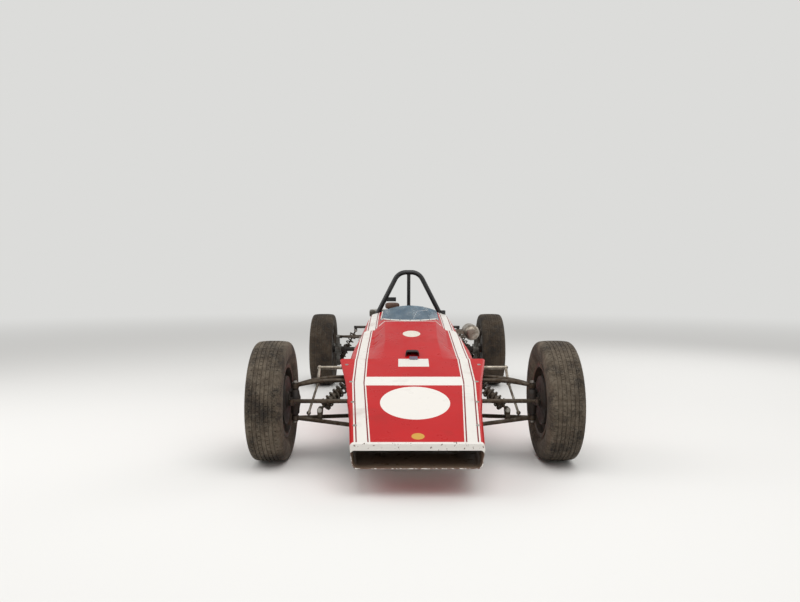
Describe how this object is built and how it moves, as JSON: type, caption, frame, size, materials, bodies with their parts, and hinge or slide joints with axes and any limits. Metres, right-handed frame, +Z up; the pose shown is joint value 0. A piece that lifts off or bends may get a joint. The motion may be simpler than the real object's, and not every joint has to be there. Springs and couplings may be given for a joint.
{
  "type": "open wheel racing car",
  "caption": "Open wheel single-seat racing car with a wedge nose, open cockpit, roll hoop, exposed engine and outboard suspension",
  "frame": {"origin": "on the ground, halfway along the car and on its centreline", "axes": "+Y runs back along the car, so the nose faces -Y, +X is the driver's left, +Z is up"},
  "size_m": [1.5854, 3.55, 0.9499],
  "materials": {
    "body_red": "gloss",
    "frame_black": "satin",
    "screen_tint": "gloss",
    "bare_alloy": "satin",
    "cast_alloy": "matte",
    "steel": "satin",
    "iron": "matte",
    "tyre_rubber": "matte",
    "black_plastic": "matte",
    "seat_brown": "satin"
  },
  "bodies": {
    "chassis": {"chassis_frame": "frame_black", "engine_bay_frame": "frame_black", "roll_hoop": "frame_black", "floor_pan": "bare_alloy", "firewall": "bare_alloy", "nose_cone": "body_red", "cockpit_surround": "body_red", "windscreen": "screen_tint", "seat_shell": "seat_brown", "dash_panel": "black_plastic", "driver_controls": "steel", "radiator": "cast_alloy", "rack_housing": "cast_alloy", "front_wishbones": "steel", "front_dampers": "steel", "front_springs": "steel", "anti_roll_bar": "steel", "rear_uprights": "cast_alloy", "rear_links": "steel", "rear_dampers": "steel", "rear_springs": "steel", "engine_block": "iron", "rocker_cover": "bare_alloy", "carburettor": "cast_alloy", "exhaust": "steel", "gearbox": "cast_alloy", "oil_tank": "bare_alloy"},
    "knuckle_left": {"knuckle_left": "iron"},
    "knuckle_right": {"knuckle_right": "iron"},
    "steering_wheel": {"steering_wheel": "black_plastic"},
    "steering_rack": {"track_rods": "steel"},
    "wheel_front_left": {"tyre_front_left": "tyre_rubber", "rim_front_left": "frame_black", "hub_front_left": "iron"},
    "wheel_front_right": {"tyre_front_right": "tyre_rubber", "rim_front_right": "frame_black", "hub_front_right": "iron"},
    "wheel_rear_left": {"tyre_rear_left": "tyre_rubber", "rim_rear_left": "frame_black", "hub_rear_left": "iron"},
    "wheel_rear_right": {"tyre_rear_right": "tyre_rubber", "rim_rear_right": "frame_black", "hub_rear_right": "iron"}
  },
  "joints": [
    {"name": "steer_left", "type": "hinge", "parent": "chassis", "child": "knuckle_left", "pos_m": [0.58, -1.19, 0.29], "axis": [0, 0, 1], "range_deg": [-15, 15]},
    {"name": "steer_right", "type": "hinge", "parent": "chassis", "child": "knuckle_right", "pos_m": [-0.58, -1.19, 0.29], "axis": [0, 0, 1], "range_deg": [-15, 15]},
    {"name": "rack_slide", "type": "slide", "parent": "chassis", "child": "steering_rack", "axis": [1, 0, 0], "range_m": [-0.03152, 0.03152]},
    {"name": "steering_wheel_turn", "type": "hinge", "parent": "chassis", "child": "steering_wheel", "pos_m": [0, -0.04, 0.52], "axis": [0, 0.982, 0.189], "range_deg": [-165.5, 165.5]},
    {"name": "spin_front_left", "type": "hinge", "parent": "knuckle_left", "child": "wheel_front_left", "pos_m": [0.686, -1.19, 0.29], "axis": [1, 0, 0], "continuous": true},
    {"name": "spin_front_right", "type": "hinge", "parent": "knuckle_right", "child": "wheel_front_right", "pos_m": [-0.686, -1.19, 0.29], "axis": [1, 0, 0], "continuous": true},
    {"name": "spin_rear_left", "type": "hinge", "parent": "chassis", "child": "wheel_rear_left", "pos_m": [0.7, 1.17, 0.297], "axis": [1, 0, 0], "continuous": true},
    {"name": "spin_rear_right", "type": "hinge", "parent": "chassis", "child": "wheel_rear_right", "pos_m": [-0.7, 1.17, 0.297], "axis": [1, 0, 0], "continuous": true}
  ],
  "couplings": [
    {"joint": "steer_right", "follows": "steer_left", "ratio": 1},
    {"joint": "rack_slide", "follows": "steer_left", "m_per_rad": 0.12},
    {"joint": "steering_wheel_turn", "follows": "steer_left", "ratio": 11}
  ]
}
